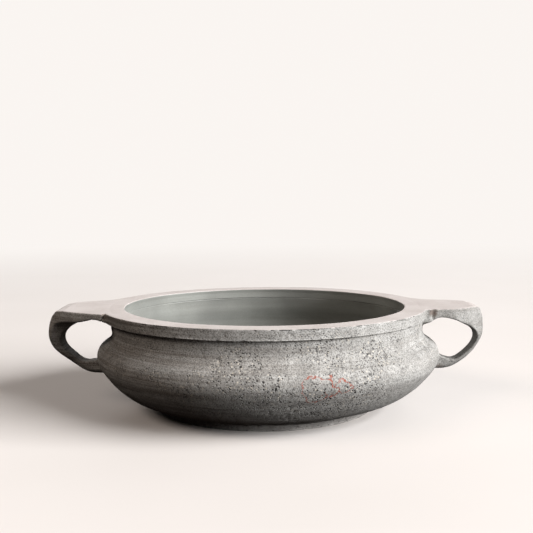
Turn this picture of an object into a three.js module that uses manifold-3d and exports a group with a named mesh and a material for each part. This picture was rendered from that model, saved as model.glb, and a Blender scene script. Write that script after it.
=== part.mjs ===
// A low two-handled bowl cut from grey stone: a turned body with a swollen belly and a hollowed
// neck, a flat flange round the mouth, a low foot ring, and two loop handles level with the rim.
//
// Millimetres, +Z up. The origin is on the surface the bowl stands on, under the centre of the
// mouth. The handles point along -X (left_handle) and +X (right_handle).

import * as THREE from 'three';
import { mergeVertices } from 'three/addons/utils/BufferGeometryUtils.js';
import Module from 'manifold-3d';

// ---------------------------------------------------------------- driving dimensions

const HEIGHT = 56.2; // from the table to the flat top of the rim
const LEFT_REACH = 119; // from the axis to the outside of the left handle
const RIGHT_REACH = 121; // the same for the right handle, cut a little longer
const CLEARANCE = 0.3; // gap kept between touching pieces

const RIM_OUTER_R = 89.9;
const OPENING_R = 76.9;
const BAND_HEIGHT = 6.0; // upright edge of the flange
const BAND_TAPER = 1.1; // the band is this much narrower at its lower edge
const LIP_DEPTH = 4.2; // upright inner face of the flange
const INNER_NECK_R = 79.6;

const BELLY_R = 94.6;
const BELLY_Z = 31;
const BELLY_SHIFT = 2; // hand cutting left the belly this far towards +X of the rim's axis
const SHIFT_SPAN = 60; // the shift starts at the table and would end at this height
const NECK_R = 86.2;
const NECK_Z = 42;
const NECK_TOP_R = 87.6;

const FOOT_HEIGHT = 3.2;
const FOOT_BASE_R = 59.9;
const FOOT_TOP_R = 62.6;
const FOOT_INNER_R = 50;

const FLOOR_Z = 9.8; // top of the floor at the centre
const CAVITY_R = 86.6; // widest part of the inside

const HANDLE_EDGE = 5.2; // upright edge of each handle's flat lug
const STRAP_HALF_WIDTH = 6.6; // half the depth of the loop, front to back

const ROUND_STEPS = 72; // sides of every turned piece
const OUTER_STEPS = 26; // points down the outside of the body
const INNER_STEPS = 18; // points down the inside
const OUTLINE_STEPS = 26; // points on each handle curve

const BAND_Z = HEIGHT - BAND_HEIGHT;
const BODY_TOP_Z = BAND_Z - CLEARANCE;
const BODY_BASE_Z = FOOT_HEIGHT + CLEARANCE;

// ---------------------------------------------------------------- materials

const bodyStone = new THREE.MeshStandardMaterial({ color: 0x8f8c88, roughness: 0.85, metalness: 0 });
const rimStone = new THREE.MeshStandardMaterial({ color: 0xb5ada8, roughness: 0.7, metalness: 0 });
const footStone = new THREE.MeshStandardMaterial({ color: 0xa9a6a2, roughness: 0.85, metalness: 0 });
const handleStone = new THREE.MeshStandardMaterial({ color: 0x97938f, roughness: 0.8, metalness: 0 });

// ---------------------------------------------------------------- outlines and turning

const vectors = (pairs) => pairs.map(([a, b]) => new THREE.Vector2(a, b));

// Smooth curve through a few [a, b] points, as a list of Vector2.
const curve = (pairs, steps) => new THREE.SplineCurve(vectors(pairs)).getPoints(steps);

// Turns an [r, z] profile round the Z axis.
function turned(profile) {
  const geometry = new THREE.LatheGeometry(profile, ROUND_STEPS);
  return geometry.rotateX(Math.PI / 2);
}

// Outside of the body from the foot up to the underside of the rim.
const outerProfile = () => curve([
  [FOOT_TOP_R - 0.9, BODY_BASE_Z],
  [75.1, 8.1],
  [83.9, 14.2],
  [90.1, 20.9],
  [93.7, 26.4],
  [BELLY_R, BELLY_Z],
  [92.8, 35.4],
  [88.4, 38.8],
  [NECK_R, NECK_Z],
  [86.5, 46.2],
  [NECK_TOP_R, BODY_TOP_Z],
], OUTER_STEPS);

// Inside of the body from under the rim down to the middle of the floor.
const innerProfile = () => curve([
  [INNER_NECK_R, BODY_TOP_Z],
  [79.5, 46.4],
  [80.8, 42],
  [84.6, 36.4],
  [CAVITY_R, 30.4],
  [85.2, 24.2],
  [80.4, 18.2],
  [70.6, 13.3],
  [50, 10.7],
  [24, FLOOR_Z + 0.1],
  [0, FLOOR_Z],
], INNER_STEPS);

// Moves each level of a turned piece towards +X by its share of the belly's shift.
function shifted(geometry) {
  const position = geometry.attributes.position;
  for (let i = 0; i < position.count; i += 1) {
    const share = Math.sin((Math.PI * position.getZ(i)) / SHIFT_SPAN);
    position.setX(i, position.getX(i) + BELLY_SHIFT * share);
  }
  return geometry;
}

// ---------------------------------------------------------------- turned pieces

function bowlBody() {
  const profile = [new THREE.Vector2(0, BODY_BASE_Z), ...outerProfile(), ...innerProfile()];
  return shifted(turned(profile));
}

// The flange that caps the neck. Its inner edge drops as a short upright lip and is then cut
// back to the wider neck below.
function rimRing() {
  return turned(vectors([
    [RIM_OUTER_R - BAND_TAPER, BAND_Z],
    [RIM_OUTER_R, HEIGHT],
    [OPENING_R, HEIGHT],
    [OPENING_R, HEIGHT - LIP_DEPTH],
    [INNER_NECK_R, BAND_Z],
    [RIM_OUTER_R - BAND_TAPER, BAND_Z],
  ]));
}

function footRing() {
  return turned(vectors([
    [FOOT_INNER_R, 0],
    [FOOT_BASE_R, 0],
    [FOOT_TOP_R, FOOT_HEIGHT],
    [FOOT_INNER_R - 1.5, FOOT_HEIGHT],
    [FOOT_INNER_R, 0],
  ]));
}

// ---------------------------------------------------------------- boolean helpers

const manifoldLibrary = await Module();
manifoldLibrary.setup();

function toSolid(geometry) {
  const bare = geometry.clone();
  bare.deleteAttribute('normal');
  bare.deleteAttribute('uv');
  const merged = mergeVertices(bare, 1e-4);
  return new manifoldLibrary.Manifold(new manifoldLibrary.Mesh({
    numProp: 3,
    vertProperties: new Float32Array(merged.attributes.position.array),
    triVerts: new Uint32Array(merged.index.array),
  }));
}

function toGeometry(solid) {
  const mesh = solid.getMesh();
  const geometry = new THREE.BufferGeometry();
  geometry.setAttribute('position', new THREE.BufferAttribute(mesh.vertProperties, 3));
  geometry.setIndex(new THREE.BufferAttribute(mesh.triVerts, 1));
  return geometry;
}

// ---------------------------------------------------------------- handles
// Each handle is drawn pointing along +X and is the overlap of three outlines: the loop seen from
// the front, the lug seen from above, and the side view, wide at the lug and narrow at the loop.

const ROOT_X = 76; // the outlines run this far in, inside the body
const OVERSHOOT = 2; // how far a cutting shape runs past what it cuts
const OUTLINE_SPAN = 110; // length of each extrusion, longer than the handle in every direction

// What the handles butt against, filled in and swollen by the clearance, as seen in a handle's
// own frame, which is turned by the given angle.
function coreForCutting(turn) {
  const bodyProfile = [
    new THREE.Vector2(0, BODY_BASE_Z),
    ...outerProfile().map((p) => new THREE.Vector2(p.x + CLEARANCE, p.y)),
    new THREE.Vector2(NECK_TOP_R + CLEARANCE, BAND_Z + OVERSHOOT),
    new THREE.Vector2(0, BAND_Z + OVERSHOOT),
  ];
  const rimProfile = vectors([
    [0, BAND_Z - CLEARANCE],
    [RIM_OUTER_R - BAND_TAPER + CLEARANCE, BAND_Z - CLEARANCE],
    [RIM_OUTER_R + CLEARANCE, HEIGHT],
    [RIM_OUTER_R + CLEARANCE, HEIGHT + OVERSHOOT],
    [0, HEIGHT + OVERSHOOT],
  ]);
  const body = toSolid(shifted(turned(bodyProfile)).rotateZ(-turn));
  return body.add(toSolid(turned(rimProfile)));
}

function extruded(points) {
  const shape = new THREE.Shape(points);
  return new THREE.ExtrudeGeometry(shape, { depth: OUTLINE_SPAN, bevelEnabled: false });
}

// Front view, in X and Z: back of the loop from the flat lug down to the belly, then the finger
// hole from the belly back up to the rim.
function frontOutline(outside, hole) {
  const points = [
    new THREE.Vector2(ROOT_X, HEIGHT),
    ...curve(outside, OUTLINE_STEPS),
    new THREE.Vector2(ROOT_X, outside[outside.length - 1][1]),
    new THREE.Vector2(ROOT_X, hole[0][1]),
    ...curve(hole, OUTLINE_STEPS),
    new THREE.Vector2(ROOT_X, hole[hole.length - 1][1]),
  ];
  const geometry = extruded(points.reverse());
  return geometry.rotateX(Math.PI / 2).translate(0, OUTLINE_SPAN / 2, 0);
}

// Plan view, in X and Y: from one root corner round the nose of the lug to the other.
function planOutline(edge) {
  const points = [
    new THREE.Vector2(ROOT_X, edge[0][1]),
    ...curve(edge, OUTLINE_STEPS),
    new THREE.Vector2(ROOT_X, edge[edge.length - 1][1]),
  ];
  return extruded(points).translate(0, 0, -OUTLINE_SPAN / 4);
}

// Side view, in Y and Z: an upright edge, then an underside drawn in to the narrow strap.
function sideOutline() {
  const wide = OUTLINE_SPAN / 2;
  const edgeZ = HEIGHT - HANDLE_EDGE;
  const taper = curve([
    [34, edgeZ],
    [27, 49.6],
    [21.5, 48.4],
    [17.5, 47],
    [14.2, 45.4],
    [11.4, 43.2],
    [9.2, 40.4],
    [7.6, 37],
    [6.9, 33.2],
    [STRAP_HALF_WIDTH, 28.2],
  ], 18);
  const half = [
    new THREE.Vector2(wide, HEIGHT),
    new THREE.Vector2(wide, edgeZ),
    ...taper,
    new THREE.Vector2(STRAP_HALF_WIDTH, 0),
  ];
  const mirrored = half.map((p) => new THREE.Vector2(-p.x, p.y)).reverse();
  const geometry = extruded([...half, ...mirrored].reverse());
  return geometry.rotateX(Math.PI / 2).rotateZ(Math.PI / 2).translate(ROOT_X - 10, 0, 0);
}

function handle({ outside, hole, edge, turn }) {
  const solid = toSolid(frontOutline(outside, hole))
    .intersect(toSolid(planOutline(edge)))
    .intersect(toSolid(sideOutline()))
    .subtract(coreForCutting(turn));
  return toGeometry(solid);
}

// The left handle is thick in the loop and spreads towards the front of the bowl. It is drawn
// pointing along +X and turned half a turn, so its front edge has positive Y here.
const leftHandle = () => handle({
  turn: Math.PI,
  outside: [
    [109, HEIGHT], [112.4, 55.4], [115.2, 52.9], [117.3, 49.4], [118.6, 45.6],
    [LEFT_REACH, 41.6], [118.3, 37], [116.6, 33.3], [113.8, 30.1], [110, 27], [104.6, 23.1],
    [99.6, 20.1], [94, 18.8], [84, 18.6],
  ],
  hole: [
    [84, 26], [95.2, 25.5], [99.6, 25.1], [103.4, 26.5], [106.8, 29.4], [110, 32.6],
    [111.8, 35.8], [112.3, 38.8], [111.4, 41.6], [108.8, 44.3], [105.2, 46.7], [101, 49],
    [97, 50.7], [92.6, 52], [88.2, 52.7], [84, 52.9],
  ],
  edge: [
    [82, -37], [87, -29.5], [92, -24.8], [98, -22.2], [103.4, -19.6], [108, -15],
    [112, -11.2], [117, -8.6], [121, -6], [121, 6], [118.8, 10], [115.2, 15], [110, 20.4],
    [102, 26.4], [92, 32], [84, 35.4], [77, 37.8],
  ],
});

// The right handle is square at its outer corner and thin in the loop.
const rightHandle = () => handle({
  turn: 0,
  outside: [
    [114.6, HEIGHT], [118.4, 54.7], [120.2, 51.2], [120.9, 47], [RIGHT_REACH, 43],
    [120.4, 38.4], [118.8, 34.2], [116.4, 30.4], [113.4, 27.1], [109.8, 24.3], [105.6, 21.7],
    [100.8, 20.2], [94, 19.8], [84, 19.8],
  ],
  hole: [
    [84, 27.4], [96.6, 27.2], [101.4, 26], [105.2, 25.4], [108.6, 26.8], [112.4, 29.9],
    [115.3, 33.6], [116.6, 37.2], [116.2, 40.6], [113.8, 43.4], [110, 45.9], [106.4, 47.9],
    [103, 49.5], [99.4, 50.7], [95.4, 51.4], [91, 51.4], [84, 51],
  ],
  edge: [
    [80, -24], [92, -22.6], [103, -21.2], [111.2, -19.2], [116, -14.6], [119.6, -9.8],
    [122, -6.4], [122, 6.4], [118.4, 9.4], [114.2, 11.8], [110.2, 14.8], [105, 17.4],
    [98, 19.2], [91.4, 22], [86.6, 27.4], [82.6, 35],
  ],
});

// ---------------------------------------------------------------- assembly

function piece(name, geometry, material, turn = 0) {
  const mesh = new THREE.Mesh(geometry, material);
  mesh.name = name;
  mesh.rotation.z = turn;
  return mesh;
}

const bowl = new THREE.Group();
bowl.add(
  piece('bowl_body', bowlBody(), bodyStone),
  piece('rim_ring', rimRing(), rimStone),
  piece('foot_ring', footRing(), footStone),
  piece('left_handle', leftHandle(), handleStone, Math.PI),
  piece('right_handle', rightHandle(), handleStone),
);

export default bowl;
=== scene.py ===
"""A two-handled turned stone bowl, weathered outside and honed on the rim, in a plain studio."""

import functools
import itertools
import math

import bpy
import numpy as np
from mathutils import Euler, Matrix, Vector


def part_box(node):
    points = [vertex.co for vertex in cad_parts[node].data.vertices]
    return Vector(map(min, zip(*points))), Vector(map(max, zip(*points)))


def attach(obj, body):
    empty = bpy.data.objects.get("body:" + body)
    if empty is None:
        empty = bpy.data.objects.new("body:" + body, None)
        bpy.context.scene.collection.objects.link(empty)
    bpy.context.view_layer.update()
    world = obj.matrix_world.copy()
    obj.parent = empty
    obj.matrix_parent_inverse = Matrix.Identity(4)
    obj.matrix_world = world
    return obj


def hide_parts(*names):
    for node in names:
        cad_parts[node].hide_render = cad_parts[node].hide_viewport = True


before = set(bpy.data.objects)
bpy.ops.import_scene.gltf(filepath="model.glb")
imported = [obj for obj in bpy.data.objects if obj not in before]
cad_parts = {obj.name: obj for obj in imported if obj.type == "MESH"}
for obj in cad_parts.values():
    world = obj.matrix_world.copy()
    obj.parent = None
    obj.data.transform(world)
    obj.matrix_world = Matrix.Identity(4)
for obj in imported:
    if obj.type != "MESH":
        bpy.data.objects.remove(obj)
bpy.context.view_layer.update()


# ---------------------------------------------------------------- sizes, from the frame
# Shapes are worked out in millimetres and become metres when a mesh is made.

MM = 0.001


def node_box(node):
    """The lowest and highest corner of a CAD node, in millimetres."""
    low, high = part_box(node)
    return np.array(low) / MM, np.array(high) / MM


body_low, body_high = node_box("bowl_body")
rim_low, rim_high = node_box("rim_ring")
foot_high = node_box("foot_ring")[1]
left_low = node_box("left_handle")[0]
right_high = node_box("right_handle")[1]

HEIGHT = rim_high[2]
BAND_Z = rim_low[2]
RIM_R = rim_high[1]
BELLY_R = body_high[1]
BODY_BASE_Z = body_low[2]
BODY_TOP_Z = body_high[2]
FOOT_R = foot_high[1]
FOOT_HEIGHT = foot_high[2]
LEFT_REACH = -left_low[0]
RIGHT_REACH = right_high[0]

# The belly stands a little off the centre of the rim, towards the right handle: how far at the
# most, and the height over which that comes and goes.
BELLY_SHIFT = 2.0
SHIFT_SPAN = 60.0

# Walls of the bowl: radius less the belly's radius, and height above the table.
OUTER_WALL = (
    (-32.9, BODY_BASE_Z), (-19.5, 8.1), (-10.7, 14.2), (-4.5, 20.9), (-0.9, 26.4), (0.0, 31.0),
    (-1.8, 35.4), (-6.2, 38.8), (-8.4, 42.0), (-8.3, 46.2), (-7.8, BODY_TOP_Z),
)
INNER_WALL = (
    (-16.2, BODY_TOP_Z), (-15.6, 46.4), (-13.8, 42.0), (-10.0, 36.4), (-8.0, 30.4), (-9.4, 24.2),
    (-14.2, 18.2), (-24.0, 13.3), (-44.6, 10.7), (-70.6, 9.9), (-92.0, 9.8),
)
RIM_WIDTH = 13.0
OPENING_R = RIM_R - RIM_WIDTH
NECK_INNER_R = BELLY_R + INNER_WALL[0][0]
BAND_TAPER = 1.1
LIP_DEPTH = 2.4
BURIED = 0.5                    # how far one piece reaches into the next, so that no gap shows

# Each handle is seen from the front, from above and from the side.
# Front outlines: distance in from the handle's reach, and depth below the rim.
LEFT_OUTSIDE = (
    (10.0, 0.0), (6.6, 0.8), (3.8, 3.3), (1.7, 6.8), (0.4, 10.6), (0.0, 14.6), (0.7, 19.2),
    (2.4, 22.9), (5.2, 26.1), (9.0, 29.2), (14.4, 33.1), (19.4, 36.1), (25.0, 37.4), (35.0, 37.6),
)
LEFT_HOLE = (
    (43.0, 30.2), (23.8, 30.7), (19.4, 31.1), (15.6, 29.7), (12.2, 26.8), (9.0, 23.6), (7.2, 20.4),
    (6.7, 17.4), (7.6, 14.6), (10.2, 11.9), (13.8, 9.5), (18.0, 7.2), (22.0, 5.5), (26.4, 4.2),
    (30.4, 3.7), (34.2, 4.6), (43.0, 7.4),
)
RIGHT_OUTSIDE = (
    (6.4, 0.0), (2.6, 1.5), (0.8, 5.0), (0.1, 9.2), (0.0, 13.2), (0.6, 17.8), (2.2, 22.0),
    (4.6, 25.8), (7.6, 29.1), (11.2, 31.9), (15.4, 34.5), (20.2, 36.0), (27.0, 36.4), (37.0, 36.4),
)
RIGHT_HOLE = (
    (45.0, 28.8), (24.4, 29.0), (19.6, 30.2), (15.8, 30.8), (12.4, 29.4), (8.6, 26.3), (5.6, 22.6),
    (4.1, 19.0), (4.4, 15.6), (6.8, 12.8), (11.0, 10.3), (14.6, 8.3), (18.0, 6.7), (21.6, 5.6),
    (25.4, 5.0), (28.2, 5.4), (31.0, 6.9), (34.4, 9.4), (45.0, 16.0),
)
# Plans: distance in from the reach, and how far to the back (below zero) or the front.
LEFT_PLAN = (
    (37.0, -37.0), (32.0, -29.5), (27.0, -24.8), (21.0, -22.2), (15.6, -19.6), (11.0, -15.0),
    (7.0, -11.2), (2.0, -8.6), (-2.0, -6.0), (-2.0, 6.0), (0.2, 10.0), (3.8, 15.0), (9.0, 20.4),
    (17.0, 26.4), (27.0, 32.0), (35.0, 35.4), (42.0, 37.8),
)
RIGHT_PLAN = (
    (38.4, -35.0), (34.4, -27.4), (29.6, -22.0), (23.0, -19.2), (16.0, -17.4), (10.8, -14.8),
    (6.6, -11.4), (3.6, -8.6), (1.4, -6.8), (-1.0, -5.2), (-1.0, 5.2), (1.4, 7.2), (3.8, 9.4),
    (6.6, 12.8), (10.4, 17.4), (18.0, 21.0), (29.0, 22.6), (41.0, 24.0),
)
# Side: how far to the front or to the back, and depth below the rim. The wide lug narrows into
# the strap, and less of it is left at the back.
LUG_DEPTH = 5.2
STRAP_HALF_WIDTH = 5.0
LEFT_FRONT_SIDE = (
    (34.0, LUG_DEPTH), (25.0, 6.0), (18.6, 7.2), (15.2, 9.2), (13.2, 12.2), (11.6, 15.6), (10.2, 19.4),
    (8.8, 23.4), (7.2, 27.4), (6.0, 31.0),
)
RIGHT_FRONT_SIDE = (
    (34.0, LUG_DEPTH), (28.0, 6.6), (22.6, 7.8), (18.4, 9.2), (15.0, 10.8), (12.0, 12.8), (9.6, 15.2),
    (7.6, 18.2), (6.0, 21.8), (STRAP_HALF_WIDTH, 27.0),
)
BACK_SIDE = (
    (34.0, LUG_DEPTH), (23.0, 6.2), (14.0, 7.4), (8.6, 9.0), (5.2, 11.4), (3.6, 14.8), (3.2, 18.4),
    (3.8, 22.2), (STRAP_HALF_WIDTH, 27.0),
)
# A short groove in the front of each lug, beside the rim: its two ends and its radius.
LEFT_GROOVE = ((-82.4, -35.0, 57.5), (-84.6, -33.6, 52.4), 1.0)
RIGHT_GROOVE = ((90.8, -23.6, 57.0), (90.1, -23.4, 51.2), 1.4)
# Where the lower end of the right handle meets the belly, with dirt and painted shade around it.
HANDLE_ROOT = np.array([97.0, -6.0, 20.2])


# ---------------------------------------------------------------- noise and outlines

LATTICE = 64
NOISE_TABLE = np.random.default_rng(7).uniform(-1, 1, (LATTICE,) * 3)
SKEW_ANGLES = (0.6, 0.45, 0.7)
SKEW = np.array(Euler(SKEW_ANGLES).to_matrix())


def noise(points, size, layer=0):
    """Smooth noise from -1 to 1 in lumps about size wide. Each layer is a noise of its own."""
    place = (points if np.ndim(size) else points @ SKEW) / size + 11.37 * layer
    cell = np.floor(place).astype(int)
    part = place - cell
    part = part * part * (3 - 2 * part)
    total = np.zeros(len(points))
    for corner in itertools.product((0, 1), repeat=3):
        share = np.where(corner, part, 1 - part).prod(axis=1)
        x, y, z = ((cell + corner) % LATTICE).T
        total += share * NOISE_TABLE[x, y, z]
    return total


def smoothstep(low, high, value):
    """0 below low, 1 above high, and a smooth ramp between them."""
    t = np.clip((value - low) / (high - low), 0, 1)
    return t * t * (3 - 2 * t)


def curve_through(points, steps=8):
    """A Catmull-Rom curve through the points, with some steps between each two."""
    points = np.array(points, float)
    held = np.vstack([points[:1], points, points[-1:]])
    t = np.linspace(0, 1, steps, endpoint=False)[:, None]
    line = []
    for before, start, end, after in zip(held, held[1:], held[2:], held[3:]):
        bend = 2 * before - 5 * start + 4 * end - after
        twist = 3 * start - before - 3 * end + after
        line.append(start + 0.5 * t * (end - before + t * (bend + t * twist)))
    return np.vstack(line + [points[-1:]])


def evenly(line, spacing):
    """The line with its points about spacing apart."""
    far = np.concatenate([[0], np.cumsum(np.hypot(*np.diff(line, axis=0).T))])
    at = np.linspace(0, far[-1], max(2, round(far[-1] / spacing) + 1))
    return np.column_stack([np.interp(at, far, line[:, k]) for k in (0, 1)])


def rounded(corners, radii, spacing, arc_steps=5):
    """A closed outline with each corner rounded to its radius and its straight sides in steps."""
    corners = np.array(corners, float)
    previous, following = np.roll(corners, 1, 0), np.roll(corners, -1, 0)
    arcs = []
    for before, corner, after, radius in zip(previous, corners, following, radii):
        to_before = (before - corner) / np.linalg.norm(before - corner)
        to_after = (after - corner) / np.linalg.norm(after - corner)
        half = math.acos(np.clip(to_before @ to_after, -1, 1)) / 2
        middle = (to_before + to_after) / np.linalg.norm(to_before + to_after)
        centre = corner + middle * radius / math.sin(half)
        first = corner + to_before * radius / math.tan(half) - centre
        last = corner + to_after * radius / math.tan(half) - centre
        turn = np.linspace(0, 1, arc_steps)[:, None]
        spokes = first * (1 - turn) + last * turn
        arcs.append(centre + radius * spokes / np.linalg.norm(spokes, axis=1, keepdims=True))
    line = []
    for arc, next_arc, corner, after in zip(arcs, arcs[1:] + arcs[:1], corners, following):
        steps = max(1, round(np.linalg.norm(after - corner) / spacing))
        straight = np.linspace(arc[-1], next_arc[0], steps + 1)[1:-1]
        line += [arc, straight]
    return np.vstack(line)


# ---------------------------------------------------------------- the carved surface


def carve(points, roughness=1.0):
    """How far the stone's surface lies from its ideal shape, in millimetres and never above it.

    Each share of it is a depth, times a noise in lumps of some size.
    """
    wide = 0.16 * noise(points, 46) + 0.08 * noise(points, 17, 1)
    turned_marks = 0.045 * noise(points, np.array([34, 34, 1.7]), 2)
    lumps = 0.05 * noise(points, 5.5, 3) + 0.03 * noise(points, 2.3, 4)
    grain = 0.03 * noise(points, 1.15, 5)
    patch = smoothstep(-0.25, 0.35, noise(points, 21, 6))
    pits = 0.34 * smoothstep(0.42, 0.8, noise(points, 1.9, 7)) * patch
    rough_part = turned_marks + lumps + grain - pits
    return np.minimum(wide + roughness * rough_part - 0.16 - 0.06 * roughness, 0)


def belly_shift(z):
    """How far the bowl's wall stands towards the right handle at a height."""
    return BELLY_SHIFT * np.sin(np.pi * z / SHIFT_SPAN)


def mesh_piece(name, points, faces, slots, face_slots=None):
    """A smooth-shaded mesh object from points in millimetres."""
    mesh = bpy.data.meshes.new(name)
    mesh.from_pydata((points * MM).tolist(), [], faces)
    for material in slots:
        mesh.materials.append(material)
    if face_slots is not None:
        mesh.polygons.foreach_set("material_index", face_slots)
    mesh.polygons.foreach_set("use_smooth", [True] * len(faces))
    mesh.update()
    piece = bpy.data.objects.new(name, mesh)
    bpy.context.scene.collection.objects.link(piece)
    return piece


def place(piece, node, slot):
    """The piece stands for its CAD node and rides with the one body of the bowl."""
    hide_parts(node)
    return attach(piece, "root")


def turned_normals(profile, closed):
    """Outward direction (across, up) at each point of a profile that runs round the solid."""
    if closed:
        along = np.roll(profile, -1, 0) - np.roll(profile, 1, 0)
    else:
        along = np.gradient(profile, axis=0)
    along /= np.linalg.norm(along, axis=1, keepdims=True)
    return np.column_stack([along[:, 1], -along[:, 0]])


def turned_faces(rings, around, closed):
    """Quads between the rings of a turned solid, with a cap over each end where it isn't closed."""
    ring = np.arange(rings if closed else rings - 1)[:, None]
    turn = np.arange(around)[None, :]
    here = ring * around + turn
    beside = ring * around + (turn + 1) % around
    above = (ring + 1) % rings * around + (turn + 1) % around
    over = (ring + 1) % rings * around + turn
    faces = np.stack([here, beside, above, over], -1).reshape(-1, 4).tolist()
    if not closed:
        faces.append(list(range(around))[::-1])
        faces.append(list(range((rings - 1) * around, rings * around)))
    return faces


def turned_points(profile, around, shift=0.0):
    """The profile's points at every turn, as rings x turns x 3; shift moves each ring along X."""
    angle = np.arange(around) * 2 * np.pi / around
    x = profile[:, :1] * np.cos(angle) + np.reshape(shift, (-1, 1))
    y = profile[:, :1] * np.sin(angle)
    z = profile[:, 1:] + 0 * angle
    return np.stack([x, y, z], -1)


# ---------------------------------------------------------------- bowl, rim and foot

BODY_TURNS = 760
RIM_TURNS = 900
FOOT_TURNS = 600
WALL_SPACING = 0.72             # how far apart the points of each profile are
INSIDE_SPACING = 5.0
RIM_SPACING = 0.62
FOOT_SPACING = 0.75
RIM_ROUNDING = (0.3, 0.4, 0.6, 1.6, 0.5)
FOOT_ROUNDING = (0.5, 0.45, 0.3, 0.3)
CENTRED_FROM_Z = 38.0           # from here up the hollow comes back to the centre of the rim
FLOOR_CAP_R = 2.0               # a flat cap closes the middle of the floor, and one the underside
BASE_CAP_R = 30.0
INSIDE_ROUGHNESS = 0.12         # how much of the outside's carving the smooth parts have
RIGHT_LUG_ANGLE = 0.225         # half the angle that each lug takes up on the rim, in radians
LEFT_LUG_ANGLE = 0.385
LUG_END = 0.02                  # how much further the rim takes to be open again, in radians
WORN_WIDTH = 1.1                # how far wear reaches from the rim's upper edge


def wall(points):
    """A wall's curve, from offsets to real radii."""
    return curve_through([(BELLY_R + across, z) for across, z in points])


def make_body(outside, inside):
    """The bowl itself: a wall with a carved outside, a smooth hollow and a thick floor."""
    outer = evenly(wall(OUTER_WALL), WALL_SPACING)
    inner = evenly(wall(INNER_WALL), INSIDE_SPACING)
    inner = inner[inner[:, 0] > FLOOR_CAP_R]
    top = np.array([outer[-1], inner[0]]) + (0, BURIED)
    base = np.array([(BASE_CAP_R, BODY_BASE_Z), (outer[0, 0] - 1.0, BODY_BASE_Z)])
    profile = np.vstack([base, outer, top, inner])
    shift = belly_shift(profile[:, 1])
    hollow = np.arange(len(profile)) >= len(base) + len(outer) + 1
    shift[hollow] *= 1 - smoothstep(CENTRED_FROM_Z, BODY_TOP_Z, profile[hollow, 1])
    points = turned_points(profile, BODY_TURNS, shift)
    normals = turned_points(turned_normals(profile, False), BODY_TURNS)
    roughness = np.repeat(np.where(hollow, INSIDE_ROUGHNESS, 1.0), BODY_TURNS)
    depth = carve(points.reshape(-1, 3), roughness).reshape(points.shape[:2])
    points = points + normals * depth[..., None]
    faces = turned_faces(len(profile), BODY_TURNS, False)
    face_slots = np.zeros(len(faces), int)
    face_slots[(len(base) + len(outer)) * BODY_TURNS:] = 1
    face_slots[-2] = 0
    return mesh_piece("bowl_body_stone", points.reshape(-1, 3), faces, [outside, inside], face_slots)


def under_handle(angle):
    """1 where a handle's lug covers the rim's edge, and 0 on the open rim."""
    side = np.abs(np.angle(np.exp(1j * angle)))
    to_right = 1 - smoothstep(RIGHT_LUG_ANGLE, RIGHT_LUG_ANGLE + LUG_END, side)
    to_left = smoothstep(np.pi - LEFT_LUG_ANGLE - LUG_END, np.pi - LEFT_LUG_ANGLE, side)
    return np.maximum(to_right, to_left)


def make_rim(outside, inside):
    """The rim: a flat honed top, a pitted band with a worn edge, and a lip that stands inwards."""
    corners = (
        (RIM_R - BAND_TAPER, BAND_Z), (RIM_R, HEIGHT), (OPENING_R, HEIGHT),
        (OPENING_R + 0.9, HEIGHT - LIP_DEPTH), (NECK_INNER_R, BAND_Z),
    )
    profile = rounded(corners, RIM_ROUNDING, RIM_SPACING)
    points = turned_points(profile, RIM_TURNS)
    normals = turned_points(turned_normals(profile, True), RIM_TURNS)
    flat = points.reshape(-1, 3)
    top = smoothstep(0.5, 0.9, normals[..., 2])
    lip = np.repeat((profile[:, 0] < OPENING_R + 2.0)[:, None], RIM_TURNS, 1)
    roughness = np.maximum(1 - np.maximum(0.85 * top, lip), INSIDE_ROUGHNESS).reshape(-1)
    depth = carve(flat, roughness)
    from_axis = np.hypot(flat[:, 0], flat[:, 1])
    edge = np.hypot(from_axis - RIM_R, flat[:, 2] - HEIGHT)
    hidden = under_handle(np.arctan2(flat[:, 1], flat[:, 0]))
    wear = np.clip(1 - edge / WORN_WIDTH, 0, 1) * (1 - hidden)
    chip = smoothstep(0.05, 0.7, noise(flat, 1.7, 8)) * smoothstep(-0.4, 0.3, noise(flat, 14, 9))
    tucked = hidden * smoothstep(RIM_R - 7, RIM_R - 1.5, from_axis)
    tucked = tucked * smoothstep(HEIGHT - 3, HEIGHT - 1.5, flat[:, 2])
    depth = depth - wear * (0.06 + 0.26 * chip) - tucked * (0.14 + 0.4 * smoothstep(1.5, 0, edge))
    points = points + normals * depth.reshape(points.shape[:2])[..., None]
    faces = turned_faces(len(profile), RIM_TURNS, True)
    in_hollow = (profile[:, 0] < RIM_R - 9) & (profile[:, 1] < HEIGHT - 0.15)
    face_slots = np.repeat(in_hollow.astype(int), RIM_TURNS)
    return mesh_piece("rim_ring_stone", points.reshape(-1, 3), faces, [outside, inside], face_slots)


def make_foot(stone):
    """The low foot ring, flared up into the bowl."""
    corners = (
        (FOOT_R - 12.6, 0.0), (FOOT_R - 2.7, 0.0), (FOOT_R + 0.2, FOOT_HEIGHT + 2 * BURIED),
        (FOOT_R - 14.6, FOOT_HEIGHT + 2 * BURIED),
    )
    profile = rounded(corners, FOOT_ROUNDING, FOOT_SPACING)
    points = turned_points(profile, FOOT_TURNS)
    normals = turned_points(turned_normals(profile, True), FOOT_TURNS)
    depth = carve(points.reshape(-1, 3), 0.7).reshape(points.shape[:2])
    resting = np.clip(points[..., 2], 0, 1)
    points = points + normals * (depth * resting)[..., None]
    faces = turned_faces(len(profile), FOOT_TURNS, True)
    return mesh_piece("foot_ring_stone", points.reshape(-1, 3), faces, [stone])


# ---------------------------------------------------------------- handles

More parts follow.
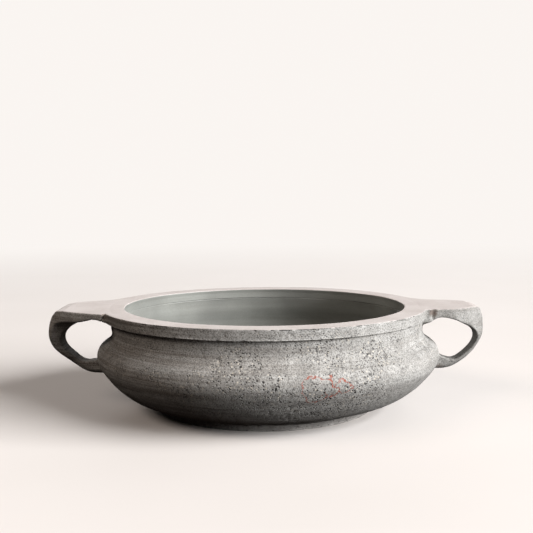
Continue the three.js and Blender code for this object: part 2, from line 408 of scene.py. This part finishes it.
FIELD_STEP = 0.4
NET_STEP = 0.55
NET_INWARD = 23.0               # the box that holds a handle: in from the rim, out past its reach,
NET_OUTWARD = 2.0               # to the front and back, down from the rim and above it
NET_HALF_WIDTH = 42.0
NET_DEPTH = 46.0
NET_ABOVE = 1.6
TOP_ROUNDING = 0.7
EDGE_ROUNDING = 0.9
BACK_ROUNDING = 2.8
BAND_FILLET = 1.0               # the fillet up to the band, and the one below on the belly
BELLY_FILLET = 4.0
BAND_FILLET_Z = 47.0
BELLY_FILLET_Z = 38.0
GROOVE_ROUNDING = 0.4
SWELL = 0.15                    # makes up for what the carving takes off
TUCK = 0.12                     # how far the handle's stone ends below the bowl's surface
FILLET_SPARE = 0.6              # how far it runs on past a fillet, under that surface
SKIN = 1.2                      # how deep a handle is buried in the bowl, and in the rim's band
BAND_SKIN = 7.6
CARVED_WITHIN = 2.5             # carving is worked out only this close to the surface, and is
CARVED_BEYOND = -0.2            # taken as this much further off
LUG_SPAN = 60.0                 # wider than any lug
ROOT_REACH = 50.0               # how far in the outlines run, into the bowl's stone
ABOVE = 12.0                    # the outlines run this far above the rim, and the top is cut last


def outline_field(outline, margin=14.0):
    """The signed distance to a closed flat outline, below zero inside, as a function of two arrays."""
    outline = np.array(outline, float)
    low = outline.min(0) - margin
    u = np.arange(low[0], outline[:, 0].max() + margin, FIELD_STEP)
    v = np.arange(low[1], outline[:, 1].max() + margin, FIELD_STEP)
    grid = np.stack(np.meshgrid(u, v, indexing="ij"), -1).reshape(-1, 2)
    nearest = np.full(len(grid), 1e9)
    inside = np.zeros(len(grid), bool)
    for a, b in zip(outline, np.roll(outline, -1, 0)):
        along = b - a
        if along @ along < 1e-12:
            continue
        t = np.clip((grid - a) @ along / (along @ along), 0, 1)
        nearest = np.minimum(nearest, np.hypot(*(grid - a - t[:, None] * along).T))
        crosses = (a[1] > grid[:, 1]) != (b[1] > grid[:, 1])
        rise = along[1] if abs(along[1]) > 1e-12 else 1.0
        inside ^= crosses & (grid[:, 0] < a[0] + along[0] * (grid[:, 1] - a[1]) / rise)
    table = np.where(inside, -nearest, nearest).reshape(len(u), len(v))

    def field(x, y):
        s = np.clip((x - low[0]) / FIELD_STEP, 0, len(u) - 1.001)
        t = np.clip((y - low[1]) / FIELD_STEP, 0, len(v) - 1.001)
        i, j = s.astype(int), t.astype(int)
        s, t = s - i, t - j
        near = table[i, j] * (1 - s) + table[i + 1, j] * s
        return near * (1 - t) + (table[i, j + 1] * (1 - s) + table[i + 1, j + 1] * s) * t

    return field


def both(a, b, radius):
    """Where two solids overlap, with the edge between them rounded."""
    corner = np.hypot(np.maximum(a + radius, 0), np.maximum(b + radius, 0))
    return np.minimum(np.maximum(a, b), -radius) + corner


def either(a, b, radius):
    """Two solids joined, with a fillet in the corner between them."""
    corner = np.hypot(np.maximum(radius - a, 0), np.maximum(radius - b, 0))
    return np.maximum(np.minimum(a, b), radius) - corner


def core_field():
    """The bowl and its rim without the hollow, open at the top."""
    bowl = [(0, BODY_BASE_Z), *wall(OUTER_WALL), (BELLY_R - 7.0, HEIGHT + ABOVE), (0, HEIGHT + ABOVE)]
    band = [
        (0, BAND_Z), (RIM_R - BAND_TAPER, BAND_Z), (RIM_R, HEIGHT), (RIM_R, HEIGHT + ABOVE),
        (0, HEIGHT + ABOVE),
    ]
    bowl_field, band_field = outline_field(bowl), outline_field(band)

    def field(points):
        x, y, z = points.T
        in_bowl = bowl_field(np.hypot(x - belly_shift(np.minimum(z, BODY_TOP_Z)), y), z)
        return np.minimum(in_bowl, band_field(np.hypot(x, y), z))

    return field


def outlines(reach, outside, hole, plan):
    """The closed front, hole and plan outlines of a handle, in millimetres."""
    root = reach - ROOT_REACH
    edge = curve_through([(reach - across, HEIGHT - down) for across, down in outside])
    front = [(root, HEIGHT + ABOVE), (edge[0, 0], HEIGHT + ABOVE), *edge, (root, edge[-1, 1])]
    gap = curve_through([(reach - across, HEIGHT - down) for across, down in hole])
    top = curve_through([(reach - across, y) for across, y in plan])
    above = [(root, top[0, 1]), *top, (root, top[-1, 1])]
    return outline_field(front), outline_field(gap), outline_field(above)


def side_outline(front_side):
    """The handle's side: the lug's edge, and the curves at the front and back down to the strap."""
    front = curve_through([(-across, HEIGHT - down) for across, down in front_side])
    back = curve_through([(across, HEIGHT - down) for across, down in BACK_SIDE])
    edge, top = HEIGHT - LUG_DEPTH, HEIGHT + ABOVE
    lug = [(LUG_SPAN, edge), (LUG_SPAN, top), (-LUG_SPAN, top), (-LUG_SPAN, edge)]
    strap = [(front[-1, 0], 0.0), (STRAP_HALF_WIDTH, 0.0)]
    return outline_field([*lug, *front, *strap, *back[::-1]])


def groove_field(points, start, end, radius):
    """A groove with round ends along the line from start to end, below zero inside it."""
    start, end = np.array(start), np.array(end)
    along = end - start
    t = np.clip((points - start) @ along / (along @ along), 0, 1)
    return np.linalg.norm(points - start - t[:, None] * along, axis=1) - radius


def handle_field(side, reach, outside, hole, plan, front_side, core, groove):
    """The handle's solid, joined to the bowl by fillets. side is 1 on the right and -1 on the left."""
    front, gap, above = outlines(reach, outside, hole, plan)
    across = side_outline(front_side)

    def field(points):
        x, y, z = points.T
        far = side * x
        strap = both(front(far, z), across(y, z), BACK_ROUNDING)
        strap = both(strap, above(far, -y), EDGE_ROUNDING)
        own = both(strap, -gap(far, z), EDGE_ROUNDING) - SWELL
        stone = core(points)
        fillet = BAND_FILLET + (BELLY_FILLET - BAND_FILLET) * smoothstep(BAND_FILLET_Z, BELLY_FILLET_Z, z)
        joined = either(own, stone + TUCK, fillet)
        over_rim = TUCK * smoothstep(RIM_R - 1.5, RIM_R - 7, np.hypot(x, y))
        rough, smooth = np.full((2, len(points)), CARVED_BEYOND)
        near = np.abs(np.maximum(joined, z - HEIGHT)) < CARVED_WITHIN
        rough[near] = carve(points[near], 0.6)
        smooth[near] = carve(points[near], 0.15)
        shape = both(joined - rough, z - HEIGHT - smooth + over_rim, TOP_ROUNDING)
        shape = both(shape, -groove_field(points, *groove), GROOVE_ROUNDING)
        skin = SKIN + (BAND_SKIN - SKIN) * smoothstep(BAND_Z + 0.4, BAND_Z + 2.2, z)
        return np.maximum(np.maximum(shape, -stone - skin), own - fillet - FILLET_SPARE)

    return field


def without_specks(value):
    """The samples with each lone one, inside or outside, turned to what surrounds it."""
    inside = value < 0
    beside = sum(np.roll(inside, step, axis).astype(int) for axis in range(3) for step in (-1, 1))
    value = np.where(inside & (beside < 2), 1e-6, value)
    return np.where(~inside & (beside > 4), -1e-6, value)


def surface_net(field, low, high):
    """The points and quads of the surface where the field is zero, inside a box."""
    axes = [np.arange(a, b, NET_STEP) for a, b in zip(low, high)]
    grid = np.stack(np.meshgrid(*axes, indexing="ij"), -1)
    value = without_specks(field(grid.reshape(-1, 3)).reshape(grid.shape[:3]))
    inside = value < 0
    count = np.zeros(inside.size)
    total = np.zeros((inside.size, 3))
    quads = []
    unit = np.eye(3, dtype=int)
    for axis in range(3):
        one, two = unit[(axis + 1) % 3], unit[(axis + 2) % 3]
        first = np.take(inside, range(inside.shape[axis] - 1), axis)
        second = np.take(inside, range(1, inside.shape[axis]), axis)
        at = np.argwhere(first != second)
        start, end = value[tuple(at.T)], value[tuple((at + unit[axis]).T)]
        crossing = at + (start / (start - end))[:, None] * unit[axis]
        steps = (0 * one, one, one + two, two)
        cells = [np.ravel_multi_index((at - step).T, inside.shape) for step in steps]
        for cell in cells:
            count += np.bincount(cell, minlength=inside.size)
            for k in range(3):
                total[:, k] += np.bincount(cell, crossing[:, k], inside.size)
        quad = np.stack(cells, -1)
        outward = inside[tuple(at.T)]
        quads.append(np.where(outward[:, None], quad, quad[:, ::-1]))
    used = count > 0
    number = np.cumsum(used) - 1
    points = np.array(low) + NET_STEP * total[used] / count[used][:, None]
    return points, number[np.vstack(quads)].tolist()


def settle(field, points, rounds=2):
    """The points moved onto the field's surface."""
    reach = 0.05
    for _ in range(rounds):
        value = field(points)
        rises = [field(points + reach * way) - field(points - reach * way) for way in np.eye(3)]
        slope = np.stack(rises, -1) / (2 * reach)
        steep = np.maximum((slope ** 2).sum(1), 0.2)
        move = -(value / steep)[:, None] * slope
        points = points + np.clip(move, -0.3, 0.3)
    return points


def make_handle(name, side, reach, outside, hole, plan, front_side, core, groove, stone):
    """One handle: a lug in line with the rim and a strap that curls down to the belly."""
    field = handle_field(side, reach, outside, hole, plan, front_side, core, groove)
    low = np.array([RIM_R - NET_INWARD, -NET_HALF_WIDTH, HEIGHT - NET_DEPTH])
    high = np.array([reach + NET_OUTWARD, NET_HALF_WIDTH, HEIGHT + NET_ABOVE])
    if side < 0:
        low[0], high[0] = -high[0], -low[0]
    points, quads = surface_net(field, low, high)
    return mesh_piece(name, settle(field, points), quads, [stone])


# ---------------------------------------------------------------- materials


class Nodes:
    """Short ways to add shader nodes to one material."""

    def __init__(self, name):
        self.material = bpy.data.materials.new(name)
        self.material.use_nodes = True
        self.tree = self.material.node_tree
        self.shader = self.tree.nodes["Principled BSDF"]
        self.place = self.tree.nodes.new("ShaderNodeTexCoord").outputs["Object"]
        turn = self.tree.nodes.new("ShaderNodeMapping")
        turn.inputs["Rotation"].default_value = SKEW_ANGLES
        self.link(self.place, turn.inputs["Vector"])
        self.skewed = turn.outputs["Vector"]

    def link(self, value, socket):
        """Sets a socket from a number, a colour or another socket."""
        if isinstance(value, bpy.types.NodeSocket):
            self.tree.links.new(value, socket)
        else:
            socket.default_value = value

    def math(self, operation, a, b=0.0):
        node = self.tree.nodes.new("ShaderNodeMath")
        node.operation = operation
        self.link(a, node.inputs[0])
        self.link(b, node.inputs[1])
        return node.outputs[0]

    def vector(self, operation, a, b=(0, 0, 0)):
        node = self.tree.nodes.new("ShaderNodeVectorMath")
        node.operation = operation
        self.link(a, node.inputs[0])
        self.link(b, node.inputs[1])
        return node.outputs["Value" if operation in ("DISTANCE", "DOT_PRODUCT", "LENGTH") else "Vector"]

    def stretch(self, size_mm):
        """Coordinates counted in lumps of that size: one number, or one for each of the bowl's axes."""
        if hasattr(size_mm, "__len__"):
            return self.vector("MULTIPLY", self.place, tuple(1 / (s * MM) for s in size_mm))
        return self.vector("MULTIPLY", self.skewed, (1 / (size_mm * MM),) * 3)

    def noise(self, size_mm, detail=2.0, roughness=0.5, turn=0.0):
        node = self.tree.nodes.new("ShaderNodeTexNoise")
        node.noise_dimensions = "4D"
        node.inputs["W"].default_value = turn
        node.inputs["Scale"].default_value = 1.0
        node.inputs["Detail"].default_value = detail
        node.inputs["Roughness"].default_value = roughness
        self.link(self.stretch(size_mm), node.inputs["Vector"])
        return node.outputs["Fac"]

    def specks(self, size_mm, turn=0.0):
        """Distance from the nearest of many scattered points, and a random number for each."""
        node = self.tree.nodes.new("ShaderNodeTexVoronoi")
        node.voronoi_dimensions = "4D"
        node.inputs["W"].default_value = turn
        node.inputs["Scale"].default_value = 1.0
        self.link(self.stretch(size_mm), node.inputs["Vector"])
        chance = self.tree.nodes.new("ShaderNodeSeparateColor")
        self.link(node.outputs["Color"], chance.inputs[0])
        return node.outputs["Distance"], chance.outputs[0]

    def ramp(self, value, low, high, to_low=0.0, to_high=1.0):
        """A smooth ramp of a value."""
        node = self.tree.nodes.new("ShaderNodeMapRange")
        node.interpolation_type = "SMOOTHSTEP"
        self.link(value, node.inputs["Value"])
        for name, number in zip(("From Min", "From Max", "To Min", "To Max"), (low, high, to_low, to_high)):
            node.inputs[name].default_value = number
        return node.outputs["Result"]

    def mix(self, share, a, b):
        """Colour a at 0 and colour b at 1."""
        node = self.tree.nodes.new("ShaderNodeMix")
        node.data_type = "RGBA"
        self.link(share, node.inputs["Factor"])
        self.link(a, node.inputs["A"])
        self.link(b, node.inputs["B"])
        return node.outputs["Result"]

    def bump(self, height, distance_mm):
        node = self.tree.nodes.new("ShaderNodeBump")
        node.inputs["Strength"].default_value = 1.0
        node.inputs["Distance"].default_value = distance_mm * MM
        self.link(height, node.inputs["Height"])
        return node.outputs["Normal"]


def rgb(red, green, blue):
    """A linear colour from the usual 0 to 255 numbers."""
    return tuple((c / 255) ** 2.2 for c in (red, green, blue)) + (1.0,)


def pit_mask(n, size_mm, share, radius, turn):
    """Pits of one size: each of the scattered points that chance picks is a pit."""
    distance, chance = n.specks(size_mm, turn)
    picked = n.math("LESS_THAN", chance, share)
    return n.math("MULTIPLY", n.ramp(distance, radius, 0.45 * radius), picked)


def front_of_belly(angle_deg, z_mm):
    """A point of the belly's front, in metres, that many degrees to the right of straight ahead."""
    line = wall(OUTER_WALL)
    radius = np.interp(z_mm, line[:, 1], line[:, 0])
    angle = math.radians(angle_deg - 90)
    across = radius * math.cos(angle) + belly_shift(z_mm)
    return (across * MM, radius * math.sin(angle) * MM, z_mm * MM)


# The stain's lobes and the pitted areas: the middle of each, and its radius in millimetres.
STAIN_LOBES = (
    (front_of_belly(12.8, 29.1), 5.5), (front_of_belly(13.8, 24.4), 4.4), (front_of_belly(16.8, 29.8), 4.0),
    (front_of_belly(18.0, 27.4), 3.4), (front_of_belly(22.1, 28.4), 3.9),
)
PITTED_AREAS = (
    (front_of_belly(-9, 36), 20.0), (front_of_belly(0, 27), 16.0), (front_of_belly(15, 25), 13.0),
    (front_of_belly(29, 24), 20.0), (front_of_belly(36, 40), 13.0),
)


def dirt_and_painted_shade_mask(n):
    """Brown dirt with painted shade, in the groove beside each lug and under the root of the right handle.
    """
    spots = [(HANDLE_ROOT, 1.0, 4.5)]
    for start, end, radius in (LEFT_GROOVE, RIGHT_GROOVE):
        spots.append((np.add(start, end) / 2, radius, radius + 1.8))
    found = 0.0
    for middle, near, far in spots:
        away = n.vector("DISTANCE", n.place, tuple(middle * MM))
        found = n.math("MAXIMUM", found, n.ramp(away, far * MM, near * MM))
    return n.math("MULTIPLY", found, n.ramp(n.noise(1.8, 2.0, turn=16.0), 0.35, 0.6, 0.3, 0.8))


def stain_mask(n):
    """A thin, broken, wandering outline of joined lobes, left by water on the front of the belly."""
    wobble = n.tree.nodes.new("ShaderNodeTexNoise")
    wobble.inputs["Scale"].default_value = 170.0
    wobble.inputs["Detail"].default_value = 4.0
    wobble.inputs["Roughness"].default_value = 0.62
    n.link(n.place, wobble.inputs["Vector"])
    swing = n.vector("SUBTRACT", wobble.outputs["Color"], (0.5, 0.5, 0.5))
    bent = n.vector("ADD", n.place, n.vector("MULTIPLY", swing, (10 * MM,) * 3))
    lobes = []
    for middle, radius in STAIN_LOBES:
        lobes.append(n.math("SUBTRACT", n.vector("DISTANCE", bent, middle), radius * MM))
    inside = functools.reduce(lambda a, b: n.math("MINIMUM", a, b), lobes)
    line = n.ramp(n.math("ABSOLUTE", inside), 0.42 * MM, 0.14 * MM, 0.0, 0.9)
    return n.math("MULTIPLY", line, n.ramp(n.noise(2.2, 2.0, turn=4.0), 0.36, 0.52, 0.3, 1.0))


def pitted_areas(n):
    """Where the stone is pitted: a little everywhere, and much in a few areas of the belly's front."""
    found = n.ramp(n.noise(24, 2.0, 0.55, 1.0), 0.46, 0.66, 0.15, 0.8)
    for middle, size in PITTED_AREAS:
        away = n.vector("DISTANCE", n.place, middle)
        found = n.math("MAXIMUM", found, n.ramp(away, size * MM, 0.35 * size * MM))
    return n.math("MULTIPLY", found, n.ramp(n.noise(5, 2.0, turn=17.0), 0.3, 0.55, 0.45, 1.0))


def open_stone(n, tone, pitting, streak, grain, mottle):
    """The colour of the stone as the weather left it, with painted shade in its pits, its grooves and on
    its left side, and the mask of its pits.
    """
    wide_streak = n.noise((60, 60, 5.0), 2.0, 0.5, 14.0)
    coarse = n.noise(1.5, 2.0, 0.6, 15.0)
    from_left = n.vector("DOT_PRODUCT", n.place, (1, 0, 0))
    # The turning streaks are made much stronger towards the left: painted shade on the bowl's shaded left
    # side.
    streaks_and_left_shade = n.ramp(from_left, -70 * MM, 40 * MM, 0.85, 0.28)
    rough = n.math("MULTIPLY", pitted_areas(n), pitting)

    colour = n.mix(n.ramp(mottle, 0.25, 0.75), rgb(*tone), rgb(*(c + 30 for c in tone)))
    share = n.math("MULTIPLY", n.ramp(wide_streak, 0.42, 0.66, 0.0, 0.5), streaks_and_left_shade)
    colour = n.mix(share, colour, rgb(124, 116, 108))
    share = n.math("MULTIPLY", n.ramp(streak, 0.38, 0.66, 0.0, 0.9), streaks_and_left_shade)
    colour = n.mix(share, colour, rgb(106, 99, 92))
    colour = n.mix(n.ramp(grain, 0.30, 0.60, 0.62, 0.0), colour, rgb(60, 57, 55))
    share = n.math("MULTIPLY", n.ramp(coarse, 0.48, 0.66, 0.0, 0.6), rough)
    colour = n.mix(share, colour, rgb(88, 84, 80))
    share = n.math("MULTIPLY", pit_mask(n, 1.15, 0.42, 0.5, 9.0), n.ramp(rough, 0.0, 1.0, 0.05, 0.75))
    colour = n.mix(share, colour, rgb(200, 190, 174))

    fine = n.math("MULTIPLY", pit_mask(n, 0.95, 0.68, 0.54, 5.0), n.ramp(rough, 0.0, 1.0, 0.25, 1.0))
    medium = n.math("MULTIPLY", pit_mask(n, 1.8, 0.36, 0.46, 6.0), rough)
    pits = n.math("MAXIMUM", fine, medium)
    # The pits are dented by the bump below and painted near black: painted shade inside them.
    colour = n.mix(n.math("MULTIPLY", pits, 0.94), colour, rgb(28, 26, 25))
    # Brown dirt and painted shade in the grooves beside the lugs and under the right handle's root.
    colour = n.mix(dirt_and_painted_shade_mask(n), colour, rgb(98, 84, 75))
    colour = n.mix(stain_mask(n), colour, rgb(138, 72, 56))
    return colour, pits


def honed_top_and_painted_sheen(n):
    """The colour of the honed top, slightly pink and paler than the sides: the honed stone's own colour
    with painted sheen of the bright room.
    """
    cloud = n.ramp(n.noise((20, 20, 20), 3.0, 0.6, 7.0), 0.3, 0.7)
    colour = n.mix(cloud, rgb(183, 174, 169), rgb(197, 189, 185))
    return n.mix(n.ramp(n.noise(1.1, 2.0, 0.6, 8.0), 0.35, 0.7, 0.0, 0.25), colour, rgb(160, 149, 143))


def top_mask(n):
    """1 where the surface faces up at the height of the rim."""
    geometry = n.tree.nodes.new("ShaderNodeNewGeometry")
    facing = n.vector("DOT_PRODUCT", geometry.outputs["True Normal"], (0, 0, 1))
    height = n.vector("DOT_PRODUCT", n.place, (0, 0, 1))
    at_rim = n.ramp(height, (HEIGHT - 2.4) * MM, (HEIGHT - 1.4) * MM)
    return n.math("MULTIPLY", n.ramp(facing, 0.62, 0.86), at_rim)


def weathered_stone(name, tone, pitting):
    """Pitted grey stone with pale flecks and turning streaks, painted shade in its pits, grooves and on its
    left, and a honed top painted paler with sheen.
    """
    n = Nodes(name)
    mottle = n.noise(9, 3.0, 0.6, 2.0)
    streak = n.noise((70, 70, 1.1), 3.0, 0.65, 3.0)
    grain = n.noise(0.62, 1.0, 0.6, 4.0)
    colour, pits = open_stone(n, tone, pitting, streak, grain, mottle)
    top = top_mask(n)
    # Faces that look up at the rim's height take the honed colour, painted paler with sheen.
    n.link(n.mix(top, colour, honed_top_and_painted_sheen(n)), n.shader.inputs["Base Color"])

    surface = n.math("ADD", n.math("MULTIPLY", grain, 0.18), n.math("MULTIPLY", mottle, 0.3))
    surface = n.math("ADD", surface, n.math("MULTIPLY", streak, 0.2))
    surface = n.math("SUBTRACT", surface, n.math("MULTIPLY", pits, 0.8))
    surface = n.math("MULTIPLY", surface, n.ramp(n.math("SUBTRACT", 1.0, top), 0.0, 1.0, 0.12, 1.0))
    n.link(n.bump(surface, 0.35), n.shader.inputs["Normal"])
    n.link(n.ramp(n.math("ADD", pits, top), 0.0, 1.0, 0.78, 0.62), n.shader.inputs["Roughness"])
    n.shader.inputs["Specular IOR Level"].default_value = 0.3
    return n.material


def inside_stone():
    """The smooth hollow: an even, slightly green grey with faint turning rings."""
    n = Nodes("inside_stone")
    broad = n.noise(34, 2.0, 0.5, 11.0)
    rings = n.noise((30, 30, 2.2), 2.0, 0.5, 12.0)
    grain = n.noise(0.8, 2.0, 0.6, 13.0)
    colour = n.mix(n.ramp(broad, 0.3, 0.7), rgb(116, 117, 113), rgb(134, 135, 130))
    colour = n.mix(n.ramp(rings, 0.35, 0.75, 0.0, 0.25), colour, rgb(110, 108, 102))
    colour = n.mix(n.ramp(grain, 0.4, 0.75, 0.0, 0.22), colour, rgb(98, 95, 90))
    n.link(colour, n.shader.inputs["Base Color"])
    surface = n.math("ADD", n.math("MULTIPLY", rings, 0.6), n.math("MULTIPLY", grain, 0.25))
    n.link(n.bump(surface, 0.12), n.shader.inputs["Normal"])
    n.link(n.ramp(broad, 0.3, 0.7, 0.38, 0.46), n.shader.inputs["Roughness"])
    n.shader.inputs["Specular IOR Level"].default_value = 0.5
    return n.material


def foot_stone():
    """The foot's paler stone, rubbed where it stands."""
    n = Nodes("foot_stone")
    mottle = n.noise(6, 3.0, 0.6, 21.0)
    grain = n.noise(0.8, 2.0, 0.7, 22.0)
    colour = n.mix(n.ramp(mottle, 0.3, 0.7), rgb(146, 142, 138), rgb(176, 172, 167))
    colour = n.mix(n.ramp(grain, 0.35, 0.72, 0.0, 0.6), colour, rgb(104, 99, 94))
    pits = pit_mask(n, 1.3, 0.3, 0.42, 23.0)
    # The pits are dented by the bump and painted dark: painted shade inside them.
    colour = n.mix(n.math("MULTIPLY", pits, 0.7), colour, rgb(64, 60, 56))
    n.link(colour, n.shader.inputs["Base Color"])
    surface = n.math("SUBTRACT", n.math("MULTIPLY", grain, 0.5), pits)
    n.link(n.bump(surface, 0.3), n.shader.inputs["Normal"])
    n.link(n.ramp(mottle, 0.3, 0.7, 0.7, 0.8), n.shader.inputs["Roughness"])
    n.shader.inputs["Specular IOR Level"].default_value = 0.3
    return n.material


# ---------------------------------------------------------------- studio

CAMERA_DISTANCE = 501.75 * MM
CAMERA_PITCH = math.radians(5.02)
CAMERA_ROLL = math.radians(-0.33)
CAMERA_AIM = Vector((1.28 * MM, 0, 77.4 * MM))
FOCAL_LENGTH = 60.79
ROOM_COLOUR = rgb(250, 245, 241)


def make_camera():
    """A long, low view from the front."""
    data = bpy.data.cameras.new("camera")
    data.lens = FOCAL_LENGTH
    data.sensor_width = 36.0
    camera = bpy.data.objects.new("camera", data)
    back = Vector((0, -math.cos(CAMERA_PITCH), math.sin(CAMERA_PITCH)))
    turn = Matrix.Rotation(math.pi / 2 - CAMERA_PITCH, 4, "X") @ Matrix.Rotation(CAMERA_ROLL, 4, "Z")
    camera.matrix_world = Matrix.Translation(CAMERA_AIM + back * CAMERA_DISTANCE) @ turn
    bpy.context.scene.collection.objects.link(camera)
    bpy.context.scene.camera = camera


def make_light(name, azimuth, elevation, distance, size, power, colour):
    """A soft rectangular light that faces the bowl. Azimuth 0 is in front, and 90 is to the right."""
    across, up = math.radians(azimuth), math.radians(elevation)
    way = Vector((math.sin(across) * math.cos(up), -math.cos(across) * math.cos(up), math.sin(up)))
    data = bpy.data.lights.new(name, "AREA")
    data.shape = "RECTANGLE"
    data.size, data.size_y = size
    data.energy = power
    data.color = colour
    light = bpy.data.objects.new(name, data)
    light.location = way * distance
    light.rotation_euler = way.to_track_quat("Z", "Y").to_euler()
    light.visible_camera = False
    bpy.context.scene.collection.objects.link(light)


def make_floor():
    """A wide, plain, pale floor that fades into the room and gives back little of its light."""
    half = 8.0
    corners = [(-half, -half, 0), (half, -half, 0), (half, half, 0), (-half, half, 0)]
    mesh = bpy.data.meshes.new("floor")
    mesh.from_pydata(corners, [], [(0, 1, 2, 3)])
    n = Nodes("pale_floor")
    tone = n.noise(120, 2.0, 0.5, 31.0)
    n.link(n.mix(tone, rgb(216, 210, 205), rgb(222, 216, 212)), n.shader.inputs["Base Color"])
    n.shader.inputs["Roughness"].default_value = 0.6
    n.shader.inputs["Specular IOR Level"].default_value = 0.2
    room = n.tree.nodes.new("ShaderNodeEmission")
    room.inputs["Color"].default_value = ROOM_COLOUR
    path = n.tree.nodes.new("ShaderNodeLightPath")
    dim = n.tree.nodes.new("ShaderNodeBsdfDiffuse")
    dim.inputs["Color"].default_value = rgb(48, 43, 41)
    seen = n.tree.nodes.new("ShaderNodeMixShader")
    n.link(path.outputs["Is Camera Ray"], seen.inputs["Fac"])
    n.link(dim.outputs[0], seen.inputs[1])
    n.link(n.shader.outputs[0], seen.inputs[2])
    far = n.ramp(n.vector("LENGTH", n.place), 0.30, 1.5)
    fade = n.tree.nodes.new("ShaderNodeMixShader")
    n.link(n.math("MULTIPLY", far, path.outputs["Is Camera Ray"]), fade.inputs["Fac"])
    n.link(seen.outputs[0], fade.inputs[1])
    n.link(room.outputs[0], fade.inputs[2])
    n.link(fade.outputs[0], n.tree.nodes["Material Output"].inputs["Surface"])
    mesh.materials.append(n.material)
    floor = bpy.data.objects.new("floor", mesh)
    bpy.context.scene.collection.objects.link(floor)


def make_world():
    """A pale room, seen as it is but giving only a little light."""
    world = bpy.data.worlds.new("studio")
    world.use_nodes = True
    tree = world.node_tree
    seen = tree.nodes["Background"]
    seen.inputs["Color"].default_value = ROOM_COLOUR
    seen.inputs["Strength"].default_value = 1.0
    fill = tree.nodes.new("ShaderNodeBackground")
    fill.inputs["Color"].default_value = rgb(250, 240, 232)
    fill.inputs["Strength"].default_value = 0.022
    path = tree.nodes.new("ShaderNodeLightPath")
    choice = tree.nodes.new("ShaderNodeMixShader")
    tree.links.new(path.outputs["Is Camera Ray"], choice.inputs["Fac"])
    tree.links.new(fill.outputs[0], choice.inputs[1])
    tree.links.new(seen.outputs[0], choice.inputs[2])
    tree.links.new(choice.outputs[0], tree.nodes["World Output"].inputs["Surface"])
    bpy.context.scene.world = world


def make_studio():
    """Camera, floor, and soft light that comes mostly from the right."""
    make_camera()
    make_floor()
    make_world()
    make_light("key_light", 64, 24, 4.0, (3.2, 2.2), 490, (0.985, 0.99, 1.0))
    make_light("left_fill", -54, 40, 2.4, (2.0, 0.8), 20, (1.0, 0.88, 0.79))
    make_light("back_light", 188, 20, 2.4, (2.6, 1.0), 15, (1.0, 0.97, 0.955))
    bpy.context.scene.view_settings.view_transform = "Standard"


# ---------------------------------------------------------------- the bowl

make_studio()
BODY_STONE = weathered_stone("body_stone", (147, 145, 141), 1.0)
RIM_STONE = weathered_stone("rim_stone", (157, 155, 151), 0.7)
LEFT_STONE = weathered_stone("left_handle_stone", (158, 154, 148), 0.45)
RIGHT_STONE = weathered_stone("right_handle_stone", (138, 136, 132), 0.45)
INSIDE = inside_stone()
CORE = core_field()

place(make_body(BODY_STONE, INSIDE), "bowl_body", "body_stone")
place(make_rim(RIM_STONE, INSIDE), "rim_ring", "rim_stone")
place(make_foot(foot_stone()), "foot_ring", "foot_stone")
left = make_handle("left_handle_stone", -1, LEFT_REACH, LEFT_OUTSIDE, LEFT_HOLE, LEFT_PLAN,
                   LEFT_FRONT_SIDE, CORE, LEFT_GROOVE, LEFT_STONE)
place(left, "left_handle", "handle_stone")
right = make_handle("right_handle_stone", 1, RIGHT_REACH, RIGHT_OUTSIDE, RIGHT_HOLE, RIGHT_PLAN,
                    RIGHT_FRONT_SIDE, CORE, RIGHT_GROOVE, RIGHT_STONE)
place(right, "right_handle", "handle_stone")
